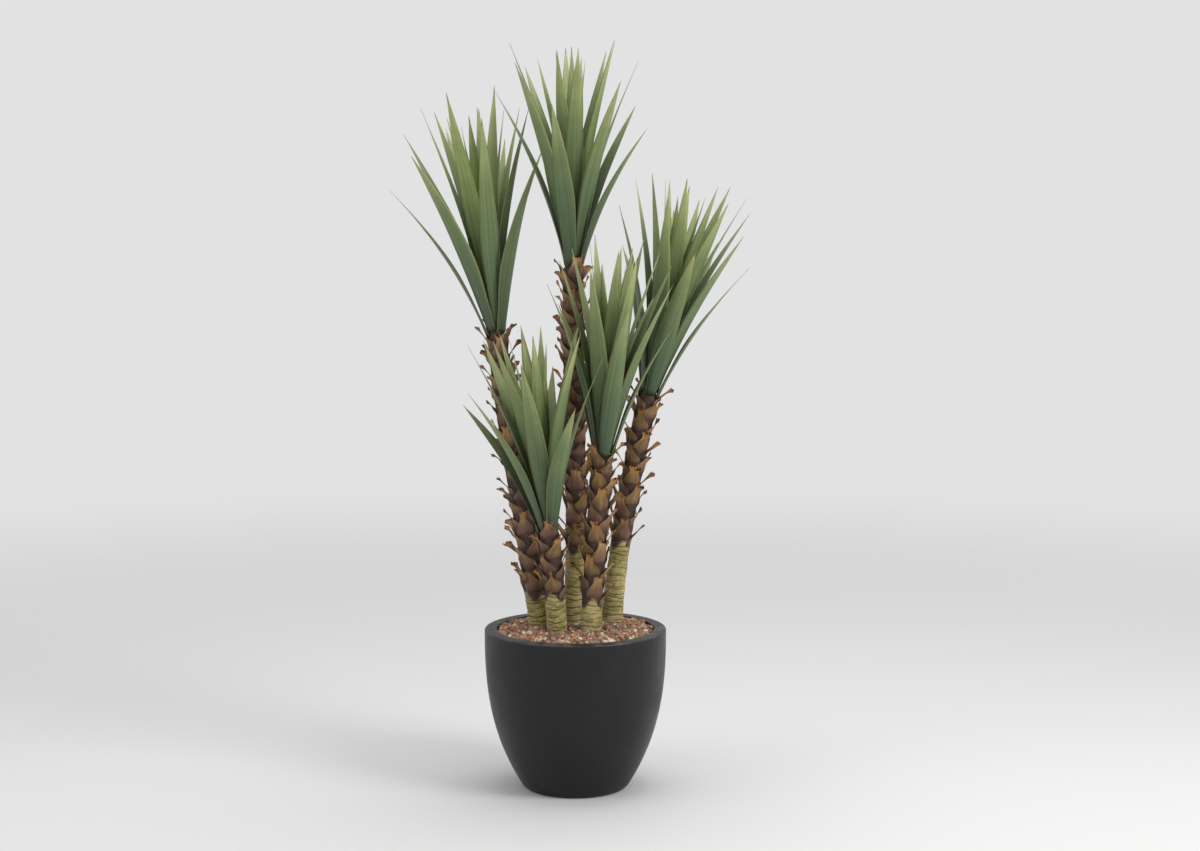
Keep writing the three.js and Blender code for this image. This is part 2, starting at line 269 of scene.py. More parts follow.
def place_group(tree, group, **sockets):
    node = add(tree, "ShaderNodeGroup", node_tree=group)
    for label, value in sockets.items():
        feed(tree, node.inputs[label], value)
    return node.outputs


print("shared effects:", [group.name for group in bpy.data.node_groups])

# %% [markdown]
# ## The planter's finish
# The planter is a dark fibre-clay pot with a satin coat. It is nearly black, but not one flat
# black: the coat is a little cloudy, fine grit shows in it, and faces that look up, like the rim,
# are paler with dust and painted top light. The rim's rounded corners carry a painted highlight in
# patches, from a value that the pot carries.

# %% Planter finish
pot_coat, tree, shader = start_material("planter_coat")
marks = place_group(tree, blotches, Size=9.0, Low=0.35, High=0.7)
dust_and_top_light = place_group(tree, dust, Amount=0.5, Size=30.0)
# Painted highlight on the rim's rounded corners, broken into patches by the clouds.
rim_highlight = maths(tree, "MULTIPLY", reading(tree, "edge"), rescale(tree, marks["Clouds"], 0.2, 0.9), True)
colour = blend(tree, marks["Clouds"], tint(15, 15, 16), tint(23, 22, 22))
colour = blend(tree, maths(tree, "MULTIPLY", marks["Specks"], 0.15), colour, tint(52, 50, 48))
# Painted highlight: the rim's rounded corners turn pale grey.
colour = blend(tree, maths(tree, "MULTIPLY", rim_highlight, 0.5), colour, tint(84, 84, 83))
# Faces that look up turn paler: partly dust, partly painted top light.
colour = blend(tree, dust_and_top_light["Mask"], colour, tint(104, 101, 96))
feed(tree, shader.inputs["Base Color"], colour)
rough = rescale(tree, marks["Clouds"], 0.0, 1.0, 0.36, 0.5)
feed(tree, shader.inputs["Roughness"], maths(tree, "ADD", rough, dust_and_top_light["Mask"], True))
shader.inputs["Specular IOR Level"].default_value = 0.32
skin = add(tree, "ShaderNodeTexNoise", {
    "Vector": add(tree, "ShaderNodeTexCoord").outputs["Object"], "Scale": 160.0, "Detail": 3.0,
})
bump = add(tree, "ShaderNodeBump", {"Height": skin.outputs[0], "Strength": 0.12, "Distance": 0.001})
feed(tree, shader.inputs["Normal"], bump.outputs[0])

# %% [markdown]
# ## The planter
# A pot like this is turned or moulded, so it is the same all the way round. Spinning one outline
# is the natural way to make it. The outline goes up the outside, over the two rounded corners of
# the rim and down the lining. Its side is steep at the rim and pulls in towards the base.

# %% Planter
pot_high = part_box("pot")[1]
RIM_RADIUS = pot_high.x
POT_HEIGHT = pot_high.z
BASE_RADIUS, FLARE, POT_WALL, POT_FLOOR = 0.114, 2.7, 0.027, 0.030
RIM_ROUND, LIP_ROUND, BASE_ROUND = 0.005, 0.003, 0.010
POT_SIDES = 144


def side_radius(height):
    return RIM_RADIUS - (RIM_RADIUS - BASE_RADIUS) * (1 - height / POT_HEIGHT) ** FLARE


def rounded(start, corner, end, steps=6):
    share = np.linspace(0, 1, steps)[:, None]
    start, corner, end = (np.array(point) for point in (start, corner, end))
    return (1 - share) ** 2 * start + 2 * share * (1 - share) * corner + share**2 * end


mouth = RIM_RADIUS - POT_WALL
up = np.linspace(BASE_ROUND, POT_HEIGHT - RIM_ROUND, 34)[1:-1]
down = np.linspace(POT_HEIGHT - LIP_ROUND, POT_FLOOR, 14)[1:]
outline = np.concatenate([
    [[0.002, 0.0], [0.5 * BASE_RADIUS, 0.0]],
    rounded([BASE_RADIUS - BASE_ROUND, 0], [BASE_RADIUS, 0], [side_radius(BASE_ROUND), BASE_ROUND]),
    np.stack([side_radius(up), up], axis=1),
    rounded([side_radius(POT_HEIGHT - RIM_ROUND), POT_HEIGHT - RIM_ROUND],
            [RIM_RADIUS, POT_HEIGHT], [RIM_RADIUS - RIM_ROUND, POT_HEIGHT]),
    [[RIM_RADIUS - 0.5 * POT_WALL, POT_HEIGHT]],
    rounded([mouth + LIP_ROUND, POT_HEIGHT], [mouth, POT_HEIGHT],
            [mouth, POT_HEIGHT - LIP_ROUND]),
    np.stack([side_radius(down) - POT_WALL, down], axis=1),
    [[0.002, POT_FLOOR]],
])
angles = np.linspace(0, 2 * math.pi, POT_SIDES, endpoint=False)
spun = np.stack([
    outline[:, :1] * np.cos(angles),
    outline[:, :1] * np.sin(angles),
    np.repeat(outline[:, 1:], POT_SIDES, axis=1),
], axis=-1)
points, faces = loft(spun)
corner_gap = np.minimum(
    np.hypot(points[:, 0], points[:, 1]) - (RIM_RADIUS - POT_WALL),
    RIM_RADIUS - np.hypot(points[:, 0], points[:, 1]),
)
# Marks the rim's rounded corners, where the finish paints a highlight.
near_rim = soft_step(points[:, 2], POT_HEIGHT - 0.006, POT_HEIGHT - 0.001)
edge = near_rim * (1 - soft_step(np.abs(corner_gap), 0.002, 0.007))
make_piece("planter", (points, faces, {"edge": edge}), pot_coat, ["pot"])
print("planter:", len(faces), "faces, rim", round(RIM_RADIUS * 2, 3), "m across")

# %% [markdown]
# ## Soil
# Soil fills the planter under the gravel. The CAD body has the right shape and nobody looks
# inside, so it stays, with an earthy finish in place of its plain colour.

# %% Soil finish
earth, tree, shader = start_material("earth")
crumbs = place_group(tree, blotches, Size=60.0, Low=0.3, High=0.7)
colour = blend(tree, crumbs["Clouds"], tint(42, 32, 24), tint(74, 57, 42))
feed(tree, shader.inputs["Base Color"], blend(tree, crumbs["Specks"], colour, tint(110, 92, 72)))
feed(tree, shader.inputs["Roughness"], rescale(tree, crumbs["Clouds"], 0.0, 1.0, 0.85, 1.0))
bump = add(tree, "ShaderNodeBump", {"Height": crumbs["Clouds"], "Strength": 0.8, "Distance": 0.004})
feed(tree, shader.inputs["Normal"], bump.outputs[0])
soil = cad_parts["soil"]
soil.data.materials.clear()
soil.data.materials.append(earth)
print("soil keeps its CAD body")

# %% [markdown]
# ## Gravel finish
# The gravel is river gravel of mixed stones: rust, terracotta, tan, cream, grey and charcoal. Each
# pebble carries one random value, and a stepped colour ramp turns it into one kind of stone. Soft
# blotches and fine specks then make every pebble a little different inside.

# %% Gravel finish
stone, tree, shader = start_material("river_gravel")
kind_of_stone = ramp(tree, reading(tree, "tone"), [
    (0.00, tint(74, 62, 54)), (0.11, tint(128, 84, 60)), (0.24, tint(148, 116, 86)),
    (0.38, tint(168, 104, 66)), (0.50, tint(104, 88, 78)), (0.60, tint(192, 168, 138)),
    (0.70, tint(146, 96, 72)), (0.81, tint(134, 124, 112)), (0.90, tint(214, 196, 170)),
    (0.95, tint(96, 66, 50)),
], way="CONSTANT")
stains = place_group(tree, blotches, Size=130.0, Low=0.35, High=0.7)
colour = blend(tree, maths(tree, "MULTIPLY", stains["Clouds"], 0.4), kind_of_stone, tint(88, 62, 46))
colour = blend(tree, maths(tree, "MULTIPLY", stains["Specks"], 0.5), colour, tint(208, 188, 160))
feed(tree, shader.inputs["Base Color"], colour)
feed(tree, shader.inputs["Roughness"], rescale(tree, stains["Clouds"], 0.0, 1.0, 0.5, 0.8))
bump = add(tree, "ShaderNodeBump", {"Height": stains["Clouds"], "Strength": 0.4, "Distance": 0.001})
feed(tree, shader.inputs["Normal"], bump.outputs[0])

bed_finish, tree, shader = start_material("gravel_bed")
grit = place_group(tree, blotches, Size=90.0, Low=0.35, High=0.65)
colour = blend(tree, grit["Clouds"], tint(58, 42, 32), tint(112, 84, 62))
feed(tree, shader.inputs["Base Color"], blend(tree, grit["Specks"], colour, tint(150, 124, 98)))
feed(tree, shader.inputs["Roughness"], rescale(tree, grit["Clouds"], 0.0, 1.0, 0.8, 0.95))
bump = add(tree, "ShaderNodeBump", {"Height": grit["Clouds"], "Strength": 1.0, "Distance": 0.004})
feed(tree, shader.inputs["Normal"], bump.outputs[0])
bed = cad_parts["gravel"]
bed.data.materials.clear()
bed.data.materials.append(bed_finish)

# %% [markdown]
# ## Where the stems run
# Each CAD stem is a loft of twelve-sided rings. Sorted by height, its points fall into those
# rings again, and the middle of each ring is a point on the stem's centreline. The last two rings
# lie above the neck, so they also say which way the tuft of leaves looks.

# %% Read the stems' centrelines
RING_SIDES = 12
STEM_NAMES = ["left", "centre", "right", "front_right", "front_left"]


KNOT_STEPS = 60


def smooth_path(knots, steps=KNOT_STEPS):
    """Points on a smooth curve through the knots, and how far along it each one lies."""
    padded = np.vstack([2 * knots[0] - knots[1], knots, 2 * knots[-1] - knots[-2]])
    pieces = []
    for before, start, end, after in zip(padded, padded[1:], padded[2:], padded[3:]):
        t = np.linspace(0, 1, steps, endpoint=False)[:, None]
        pieces.append(0.5 * (2 * start + (end - before) * t
                             + (2 * before - 5 * start + 4 * end - after) * t**2
                             + (3 * start - before - 3 * end + after) * t**3))
    dense = np.vstack([*pieces, knots[-1:]])
    travelled = np.insert(np.cumsum(np.linalg.norm(np.diff(dense, axis=0), axis=1)), 0, 0)
    return dense, travelled


def turn_onto(direction):
    """The rotation that carries +Z onto this direction by the shortest way."""
    return np.array(Vector((0, 0, 1)).rotation_difference(Vector(direction)).to_matrix())


class Stem:
    def __init__(self, name):
        self.name = name
        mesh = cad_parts["stem_" + name].data
        points = np.unique(np.round([tuple(v.co) for v in mesh.vertices], 6), axis=0)
        points = points[np.argsort(points[:, 2])]
        rings = points.reshape(-1, RING_SIDES, 3)
        centres = rings.mean(axis=1)
        self.radii = np.linalg.norm(rings - centres[:, None], axis=2).mean(axis=1)
        self.path, self.travelled = smooth_path(centres[:-1])
        self.length = self.travelled[-1]
        self.knots = np.array([self.travelled[i * KNOT_STEPS] for i in range(len(centres) - 1)])
        self.neck = centres[-2]
        self.wood_top = float(np.linalg.norm(centres[-1] - centres[-2]))
        self.tuft_turn = turn_onto(centres[-1] - centres[-2])

    def at(self, distance):
        """The centre, rotation and radius at a distance along the stem."""
        point = np.array([np.interp(distance, self.travelled, self.path[:, i]) for i in range(3)])
        ahead = np.array([np.interp(min(distance + 0.004, self.length), self.travelled,
                                    self.path[:, i]) for i in range(3)])
        behind = np.array([np.interp(max(distance - 0.004, 0), self.travelled,
                                     self.path[:, i]) for i in range(3)])
        return point, turn_onto(ahead - behind), np.interp(distance, self.knots, self.radii[:-1])

    def distance_at(self, height):
        return float(np.interp(height, self.path[:, 2], self.travelled))


stems = {name: Stem(name) for name in STEM_NAMES}
for stem in stems.values():
    print(stem.name, "length", round(stem.length, 3), "neck at", np.round(stem.neck, 3))

# %% [markdown]
# ## Pebbles
# Real pebbles are rounded but never balls. Each one starts from a ball of 80 triangles, is
# squeezed to its own three widths, dented by a slow wave and turned at random. They lie close
# together in a jittered honeycomb, with a looser second layer on top, and leave room for the
# stems. All of them are one mesh, because nobody moves a single pebble.

# %% Pebbles
def unit_ball():
    """The points and triangles of an icosahedron divided once and blown up to a ball."""
    golden = (1 + 5**0.5) / 2
    corners = [(-1, golden, 0), (1, golden, 0), (-1, -golden, 0), (1, -golden, 0),
               (0, -1, golden), (0, 1, golden), (0, -1, -golden), (0, 1, -golden),
               (golden, 0, -1), (golden, 0, 1), (-golden, 0, -1), (-golden, 0, 1)]
    triangles = [(0, 11, 5), (0, 5, 1), (0, 1, 7), (0, 7, 10), (0, 10, 11), (1, 5, 9),
                 (5, 11, 4), (11, 10, 2), (10, 7, 6), (7, 1, 8), (3, 9, 4), (3, 4, 2),
                 (3, 2, 6), (3, 6, 8), (3, 8, 9), (4, 9, 5), (2, 4, 11), (6, 2, 10),
                 (8, 6, 7), (9, 8, 1)]
    points, middles, divided = [np.array(c, float) for c in corners], {}, []

    def middle(a, b):
        key = (min(a, b), max(a, b))
        if key not in middles:
            points.append((points[a] + points[b]) / 2)
            middles[key] = len(points) - 1
        return middles[key]

    for a, b, c in triangles:
        ab, bc, ca = middle(a, b), middle(b, c), middle(c, a)
        divided += [(a, ab, ca), (b, bc, ab), (c, ca, bc), (ab, bc, ca)]
    ball = np.array(points)
    return ball / np.linalg.norm(ball, axis=1, keepdims=True), divided


def random_turn():
    turn, _ = np.linalg.qr(chance.normal(size=(3, 3)))
    return turn * np.sign(np.linalg.det(turn))


def honeycomb(spacing, jitter):
    steps = int(RIM_RADIUS / spacing) + 2
    for row in range(-steps, steps + 1):
        for column in range(-steps, steps + 1):
            place = np.array([(column + 0.5 * (row % 2)) * spacing, row * spacing * 0.866])
            yield place + chance.uniform(-jitter, jitter, 2) * spacing


ball_points, ball_faces = unit_ball()
bed_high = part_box("gravel")[1]
bed_level = bed_high.z - 0.005
bed_radius = side_radius(bed_level) - POT_WALL
feet = [(*stem.at(stem.distance_at(bed_level))[0][:2], 0.0245) for stem in stems.values()]
pebbles = []
for spacing, lift, keep in ((0.0083, 0.000, 1.0), (0.0083, 0.0036, 0.4)):
    for place in honeycomb(spacing, 0.28):
        size = 0.0047 * float(np.exp(chance.normal(0.0, 0.24)))
        size = min(size, 0.0082)
        from_axis = float(np.hypot(*place))
        clear = from_axis < bed_radius - size * 0.8 and all(
            math.hypot(place[0] - x, place[1] - y) > radius + size * 0.5 for x, y, radius in feet)
        if not clear or chance.random() > keep:
            continue
        widths = size * np.array([chance.uniform(1.0, 1.35), chance.uniform(0.85, 1.1),
                                  chance.uniform(0.6, 0.85)])
        dents = 1 + 0.1 * np.sin(ball_points @ chance.normal(0, 2.2, 3) + chance.uniform(0, 6))
        turn = random_turn()
        body = (ball_points * dents[:, None] * widths) @ turn.T
        mound = 0.003 * (1 - (from_axis / bed_radius) ** 2)
        height = bed_level + mound + lift + chance.uniform(-0.001, 0.001)
        body = body + np.array([place[0], place[1], height])
        pebbles.append((body, ball_faces, {"tone": chance.random()}))
make_piece("pebbles", join(pebbles), stone)
print("pebbles:", len(pebbles), "stones,", len(pebbles) * len(ball_faces), "triangles")

# %% [markdown]
# ## The canes' finish
# Where the old leaves have dropped off, the cane shows: yellow-olive, greener in patches, tanned
# and dusty near the gravel, and ringed by the dark scars of the leaves. The scars are modelled, and
# the mesh carries how deep each point lies. The same value darkens them here, so the scars' own
# brown is deepened by painted shade in the grooves. Higher up, where only the gaps between the
# husks show it, the cane is painted a dark brown shade.

# %% Cane finish
cane_bark, tree, shader = start_material("cane_bark")
scar_shade, husk_gap_shade = reading(tree, "scar_shade"), reading(tree, "husk_gap_shade")
grain = place_group(tree, fibres, Along=reading(tree, "along"), Across=reading(tree, "across"),
                    Seed=reading(tree, "tone"), Lines=5.0, Stretch=420.0)
patches = place_group(tree, blotches, Size=26.0, Low=0.38, High=0.62)
marks = place_group(tree, blotches, Size=110.0, Low=0.4, High=0.7)
colour = blend(tree, patches["Clouds"], tint(172, 158, 104), tint(124, 122, 58))
colour = blend(tree, maths(tree, "MULTIPLY", marks["Clouds"], 0.55), colour, tint(200, 182, 136))
colour = blend(tree, maths(tree, "MULTIPLY", grain["Lines"], 0.35), colour, tint(96, 84, 48))
colour = blend(tree, reading(tree, "foot"), colour, tint(158, 136, 100))
# Painted shade in the scar grooves, darker the deeper they lie, over the scars' own brown.
colour = blend(tree, maths(tree, "MULTIPLY", scar_shade, 0.92), colour, tint(54, 40, 26))
# Painted shade: the cane under the husks, seen only in the gaps between them, turns near-black brown.
colour = blend(tree, husk_gap_shade, colour, tint(64, 48, 40))
feed(tree, shader.inputs["Base Color"], colour)
feed(tree, shader.inputs["Roughness"], rescale(tree, marks["Clouds"], 0.0, 1.0, 0.62, 0.85))
shader.inputs["Specular IOR Level"].default_value = 0.3
rings_up = maths(tree, "MULTIPLY", grain["Lines"], 0.6)
bump = add(tree, "ShaderNodeBump", {
    "Height": maths(tree, "ADD", rings_up, marks["Clouds"]), "Strength": 0.5, "Distance": 0.0012,
})
feed(tree, shader.inputs["Normal"], bump.outputs[0])

# %% [markdown]
# ## The canes
# Each leaf that drops leaves a scar that runs part of the way round. The next scar starts a
# golden angle further on and a little higher, so the scars overlap like fish scales and the
# cane looks ringed. Each point of the mesh looks for the scars near it and sinks into them.

# %% Canes
GOLDEN_ANGLE = math.radians(137.508)
CANE_SIDES = 72
SCAR_STEP = 0.0060
SCAR_DEPTH = 0.0017
BARE_TOPS = {"left": 0.418, "centre": 0.516, "right": 0.527, "front_right": 0.412,
             "front_left": 0.430}


def scars_at(distances, angles, first, last, seed):
    """How deep each point lies in the leaf scars, from 0 to 1."""
    deepest = np.zeros(np.broadcast(distances, angles).shape)
    for i, level in enumerate(np.arange(first, last, SCAR_STEP)):
        centre = i * GOLDEN_ANGLE + seed
        away = np.abs((angles - centre + math.pi) % (2 * math.pi) - math.pi)
        reach = mix(1.5, 2.6, 0.5 + 0.5 * vary(i + seed))
        sag = 0.006 * vary(i + 0.4) * (away / math.pi) ** 2
        wander = 0.0014 * np.sin(3 * angles + 5 * vary(i + 0.2)) + sag
        gap = np.abs(distances - level - wander)
        groove = (1 - soft_step(gap, 0.0003, 0.0021)) * (1 - soft_step(away, reach * 0.7, reach))
        deepest = np.maximum(deepest, groove * mix(0.45, 1.0, 0.5 + 0.5 * vary(i + 0.7)))
    return deepest


def build_cane(stem, number):
    ground = stem.distance_at(bed_level - 0.012)
    bare = stem.distance_at(BARE_TOPS[stem.name])
    fine = np.arange(ground, bare + 0.02, 0.0011)
    coarse = np.linspace(bare + 0.03, stem.length, 30)
    distances = np.concatenate([[0.0, 0.5 * ground], fine, coarse])
    angles = np.linspace(0, 2 * math.pi, CANE_SIDES, endpoint=False)
    sunk = scars_at(distances[:, None], angles[None, :], ground, bare + 0.02, number * 1.7)
    rings, swell = [], np.random.default_rng(number).uniform(0, 6, 3)
    for distance, depth in zip(distances, sunk):
        centre, turn, radius = stem.at(distance)
        lobes = (0.010 * np.sin(2 * angles + swell[0] + 30 * distance)
                 + 0.008 * np.sin(5 * angles + swell[1] - 60 * distance))
        bulge = 0.018 * math.sin(distance * 2 * math.pi / 0.047 + swell[2])
        reach = radius * (1 + lobes + bulge) - SCAR_DEPTH * depth
        ring = np.stack([reach * np.cos(angles), reach * np.sin(angles), 0 * angles], axis=1)
        rings.append(centre + ring @ turn.T)
    top = stem.neck + stem.tuft_turn @ np.array([0, 0, stem.wood_top])
    flat = np.stack([np.cos(angles), np.sin(angles), 0 * angles], axis=1) * stem.radii[-1]
    rings.append(top + flat @ stem.tuft_turn.T)
    points, faces = loft(np.array(rings))
    along = np.repeat(np.append(distances, stem.length + stem.wood_top), CANE_SIDES)
    above = along - stem.distance_at(bed_level)
    ragged = 0.012 * np.sin(np.tile(angles, len(rings)) * 3 + number)
    values = {
        "along": along,
        "across": np.tile(np.cos(angles) * 2, len(rings)),
        "tone": 0.13 * number,
        # How deep each point lies in a scar; the finish paints shade there.
        "scar_shade": np.append(sunk.ravel(), np.zeros(CANE_SIDES)),
        "foot": 0.75 * (1 - soft_step(above + ragged, 0.0, 0.035)),
        # Where the husks cover the cane; the finish paints shade there.
        "husk_gap_shade": soft_step(along + ragged, bare - 0.004, bare + 0.012),
    }
    return points, faces, values


for number, stem in enumerate(stems.values()):
    cane = build_cane(stem, number)
    make_piece("cane_" + stem.name, cane, cane_bark, ["stem_" + stem.name])
    print("cane", stem.name, len(cane[1]), "faces")

# %% [markdown]
# ## The husks' finish
# A husk is what is left of a leaf when its blade is cut or dries off: papery fibre, dark
# purple-brown where it clasps the cane, paler and warmer towards the torn tip, with a dark frayed
# edge. Each husk carries its own tone, so some are olive, some rust and some grey-brown.

# %% Husk finish
husk_fibre, tree, shader = start_material("husk_fibre")
along, across, tone = (reading(tree, label) for label in ("along", "across", "tone"))
threads = place_group(tree, fibres, Along=along, Across=across, Seed=tone, Lines=9.0, Stretch=1.6)
patches = place_group(tree, blotches, Size=42.0, Low=0.36, High=0.66)
cool = ramp(tree, along, [
    (0.0, tint(62, 48, 45)), (0.25, tint(112, 88, 78)), (0.55, tint(158, 128, 102)),
    (0.85, tint(204, 170, 124)), (1.0, tint(158, 112, 70)),
])
warm = ramp(tree, along, [
    (0.0, tint(66, 52, 38)), (0.25, tint(126, 104, 70)), (0.55, tint(168, 140, 92)),
    (0.85, tint(216, 172, 106)), (1.0, tint(172, 116, 64)),
])
colour = blend(tree, rescale(tree, tone, 0.25, 0.75), cool, warm)
colour = blend(tree, maths(tree, "MULTIPLY", patches["Clouds"], 0.4), colour, tint(84, 62, 60))
colour = blend(tree, maths(tree, "MULTIPLY", threads["Lines"], 0.5), colour, tint(168, 140, 108),
               way="SOFT_LIGHT")
colour = blend(tree, maths(tree, "MULTIPLY", threads["Streaks"], 0.35), colour, tint(66, 48, 40))
frayed = rescale(tree, maths(tree, "ABSOLUTE", across), 0.8, 1.0)
colour = blend(tree, maths(tree, "MULTIPLY", frayed, 0.55), colour, tint(50, 34, 28))
feed(tree, shader.inputs["Base Color"], colour)
feed(tree, shader.inputs["Roughness"], rescale(tree, threads["Lines"], 0.0, 1.0, 0.6, 0.85))
shader.inputs["Specular IOR Level"].default_value = 0.3
height = maths(tree, "ADD", threads["Lines"], maths(tree, "MULTIPLY", threads["Streaks"], 1.5))
bump = add(tree, "ShaderNodeBump", {"Height": height, "Strength": 0.6, "Distance": 0.0012})
feed(tree, shader.inputs["Normal"], bump.outputs[0])

# %% [markdown]
# ## The husks
# A husk clasps the cane at its wide foot, narrows to a neck and spreads again into a torn, toothed
# tip that stands away from the cane. It is a thin loft: rows from foot to tip, each with an outer
# and an inner face. The husks follow each other by the golden angle, about one to each centimetre
# of cane, and overlap like roof tiles.

# %% Husks
HUSK_STEP = 0.0094
HUSK_ROWS = 13
HUSK_COLUMNS = 11
HUSK_FREE = 0.008  # the cane's last stretch under the tuft has no husk foot


def blade_columns(columns):
    """Across values of one closed section: over the outer face, then back over the inner one."""
    over = np.linspace(-1, 1, columns)
    return np.concatenate([over, over[-2:0:-1]]), np.concatenate([
        np.ones(columns), -np.ones(columns - 2)])


husk_across, husk_side = blade_columns(HUSK_COLUMNS)


def build_husk(stem, distance, number, seed):
    centre, turn, radius = stem.at(distance)
    local = np.random.default_rng(seed)
    direction = number * GOLDEN_ANGLE + local.uniform(-0.25, 0.25)
    outward = np.array([math.cos(direction), math.sin(direction), 0])
    side = np.array([-outward[1], outward[0], 0])
    length = local.uniform(0.050, 0.066)
    slim = local.random() < 0.3
    neck = local.uniform(0.004, 0.0065) if slim else local.uniform(0.012, 0.023)
    tip = neck + local.uniform(0.006, 0.010)
    flare = local.uniform(0.014, 0.027) if slim else local.uniform(0.009, 0.024)
    lean = local.uniform(-0.006, 0.006)
    twist = local.uniform(-1.2, 1.2) if slim else local.uniform(-0.6, 0.6)
    t = np.linspace(0, 1, HUSK_ROWS)[:, None]
    u = husk_across[None, :]
    width = mix(0.043, 0.047, soft_step(t, 0.0, 0.25))
    width = mix(width, neck, soft_step(t, 0.28, 0.76))
    width = mix(width, tip, soft_step(t, 0.78, 1.0))
    away = 0.0016 * soft_step(t, 0.0, 0.3) + 0.0035 * soft_step(t, 0.25, 0.6)
    away = away - 0.0014 + flare * np.maximum(0, (t - 0.42) / 0.58) ** 1.25
    away = away + 0.004 * soft_step(distance, stem.length - 0.04, stem.length) * soft_step(t, 0, 0.3)
    teeth = local.uniform(0.0, 1.0, HUSK_COLUMNS)
    teeth[1::2] *= 0.35
    teeth = 0.010 * np.concatenate([teeth, teeth[-2:0:-1]])
    height = length * (t - 0.06 * t**3 * (flare / 0.02)) - teeth * t**5
    height = height - 0.006 * u**2 * (1 - t)
    curl = radius + away * 1.3
    angle = u * width / 2 / curl
    ridge = 0.0005 * np.sin(7 * u + 6 * local.random()) * soft_step(t, 0.1, 0.6)
    thick = mix(0.0011, 0.0004, t) * (1 - 0.6 * np.abs(u)) * husk_side
    skin = curl + ridge + thick
    turned = twist * soft_step(t, 0.5, 0.9)
    over = skin * np.sin(angle)
    out = radius + away - curl + skin * np.cos(angle) + over * np.sin(turned)
    over = over * np.cos(turned) + lean * t**2
    points = (outward * out[..., None] + side * over[..., None]
              + np.array([0, 0, 1]) * height[..., None])
    shape, faces = loft(centre + points @ turn.T)
    values = {
        "along": np.repeat(t.ravel(), len(husk_across)),
        "across": np.tile(husk_across, HUSK_ROWS),
        "tone": local.random(),
    }
    return shape, faces, values


for number, stem in enumerate(stems.values()):
    lowest = stem.distance_at(BARE_TOPS[stem.name]) - 0.004
    feet_up = np.arange(lowest, stem.length - HUSK_FREE, HUSK_STEP)
    husks = [build_husk(stem, foot, i, 100 * number + i) for i, foot in enumerate(feet_up)]
    part = join(husks)
    make_piece("husks_" + stem.name, part, husk_fibre, ["husks_" + stem.name])
    print("husks", stem.name, len(husks))

# %% [markdown]
# ## The leaves' finish
# A yucca leaf is leathery and satin. It is a dark blue-green where it leaves the stem, darker still
# there with painted shade where the leaves crowd together, grey-green in the middle and yellow-green
# at its tip, with fine lengthwise veins, a thin yellowish margin and sometimes a scorched tip.
# Inner, younger leaves are more olive. All of this follows the leaf's own along and across values,
# and each leaf adds its own tone and age. Faces that look up are paler, partly with dust and partly
# with painted top light.

# %% Leaf finish
leaf_skin, tree, shader = start_material("leaf_skin")
along, across = reading(tree, "along"), reading(tree, "across")
tone, age = reading(tree, "tone"), reading(tree, "age")
veins = place_group(tree, fibres, Along=along, Across=across, Seed=tone, Lines=16.0, Stretch=1.2)
patches = place_group(tree, blotches, Size=14.0, Low=0.35, High=0.65)
dust_and_top_light = place_group(tree, dust, Amount=0.25, Size=60.0)
# Both ramps start dark at the base: partly the leaf's own blue-green, partly painted shade between the
# crowded leaves.
old_green = ramp(tree, along, [
    (0.0, tint(36, 50, 40)), (0.12, tint(52, 72, 52)), (0.4, tint(78, 98, 64)),
    (0.7, tint(114, 130, 80)), (1.0, tint(180, 184, 126)),
])
young_green = ramp(tree, along, [
    (0.0, tint(58, 74, 44)), (0.3, tint(86, 104, 56)), (0.65, tint(120, 134, 74)),
    (1.0, tint(184, 190, 126)),
])
colour = blend(tree, age, young_green, old_green)
bright = rescale(tree, tone, 0.9, 0.97)
colour = blend(tree, maths(tree, "MULTIPLY", bright, 0.6), colour, tint(140, 160, 74))
dull = rescale(tree, tone, 0.3, 0.0)
colour = blend(tree, maths(tree, "MULTIPLY", dull, 0.35), colour, tint(72, 84, 52))
colour = blend(tree, maths(tree, "MULTIPLY", patches["Clouds"], 0.3), colour, tint(52, 74, 56))
colour = blend(tree, maths(tree, "MULTIPLY", veins["Lines"], 0.2), colour, tint(138, 152, 100))
colour = blend(tree, maths(tree, "MULTIPLY", veins["Streaks"], 0.3), colour, tint(44, 62, 44))
margin = rescale(tree, maths(tree, "ABSOLUTE", across), 0.88, 1.0)
colour = blend(tree, maths(tree, "MULTIPLY", margin, 0.55), colour, tint(168, 158, 92))
scorched = maths(tree, "MULTIPLY", rescale(tree, along, 0.955, 0.985), rescale(tree, tone, 0.35, 0.5))
colour = blend(tree, scorched, colour, tint(132, 88, 50))
# Faces that look up turn paler: partly dust, partly painted top light.
colour = blend(tree, dust_and_top_light["Mask"], colour, tint(150, 152, 138))
feed(tree, shader.inputs["Base Color"], colour)
gloss = rescale(tree, veins["Lines"], 0.0, 1.0, 0.4, 0.52)
feed(tree, shader.inputs["Roughness"], maths(tree, "ADD", gloss, dust_and_top_light["Mask"], True))
shader.inputs["Specular IOR Level"].default_value = 0.45
bump = add(tree, "ShaderNodeBump", {
    "Height": maths(tree, "ADD", veins["Lines"], veins["Streaks"]),
    "Strength": 0.35, "Distance": 0.0008,
})
feed(tree, shader.inputs["Normal"], bump.outputs[0])

# %% [markdown]
# ## The leaves
# The leaves spiral up the growing point, each a golden angle from the last: the oldest lowest and
# most bent out, the youngest upright in the middle. A leaf is a loft along a gentle curve. Its
# section is a shallow channel, narrow at the base, widest before the middle and tapering to a
# point. The eight oldest leaves of a tuft are single pieces. The young ones in the middle are
# bunched so tightly that they are one piece, the tuft's heart.

